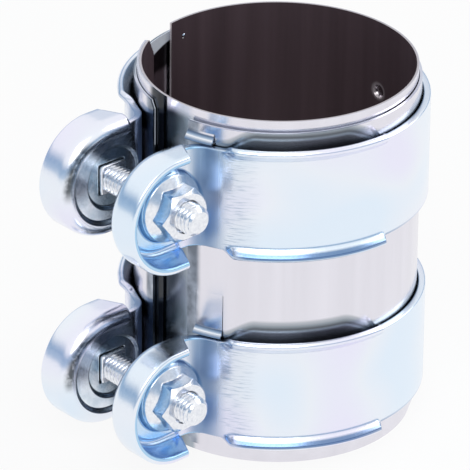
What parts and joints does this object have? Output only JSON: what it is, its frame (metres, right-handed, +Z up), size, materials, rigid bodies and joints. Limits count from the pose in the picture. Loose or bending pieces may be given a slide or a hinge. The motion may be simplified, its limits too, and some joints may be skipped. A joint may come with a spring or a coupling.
{
  "type": "double-band exhaust pipe connector",
  "caption": "Split sleeve connector that joins two exhaust pipe ends, drawn tight by two pressed bands with bolted ears.",
  "frame": {"origin": "on the pipe's axis in the plane of the liner's lower rim", "axes": "+Z up along the pipe, -X towards the ears, -Y towards the nuts and +Y towards the bolt heads"},
  "size_m": [0.1042, 0.0834, 0.098],
  "materials": {
    "stainless_sheet": "bright rolled stainless sheet",
    "stainless_strip": "bright rolled stainless strip, in shadow",
    "zinc_plated_steel": "zinc plated, blue passivated",
    "zinc_plated_bolt": "zinc plated, bright"
  },
  "bodies": {
    "sleeve": {"inner_liner": "stainless_sheet", "backing_strip": "stainless_strip", "outer_sleeve": "stainless_sheet", "band_upper": "zinc_plated_steel", "band_lower": "zinc_plated_steel"},
    "nut_upper": {"nut_upper": "zinc_plated_bolt"},
    "bolt_upper": {"bolt_upper": "zinc_plated_bolt"},
    "nut_lower": {"nut_lower": "zinc_plated_bolt"},
    "bolt_lower": {"bolt_lower": "zinc_plated_bolt"}
  },
  "joints": [
    {"name": "nut_upper_turn", "type": "hinge", "parent": "sleeve", "child": "nut_upper", "pos_m": [-0.04761, -0.0158, 0.0763], "axis": [0, -1, 0], "range_deg": [0, 540]},
    {"name": "bolt_upper_slide", "type": "slide", "parent": "sleeve", "child": "bolt_upper", "axis": [0, 1, 0], "range_m": [0, 0.00187]},
    {"name": "nut_lower_turn", "type": "hinge", "parent": "sleeve", "child": "nut_lower", "pos_m": [-0.04761, -0.0158, 0.0217], "axis": [0, -1, 0], "range_deg": [0, 540]},
    {"name": "bolt_lower_slide", "type": "slide", "parent": "sleeve", "child": "bolt_lower", "axis": [0, 1, 0], "range_m": [0, 0.00187]}
  ],
  "couplings": [
    {"joint": "nut_upper_turn", "follows": "bolt_upper_slide", "rad_per_m": 5026.5},
    {"joint": "nut_lower_turn", "follows": "bolt_lower_slide", "rad_per_m": 5026.5}
  ]
}
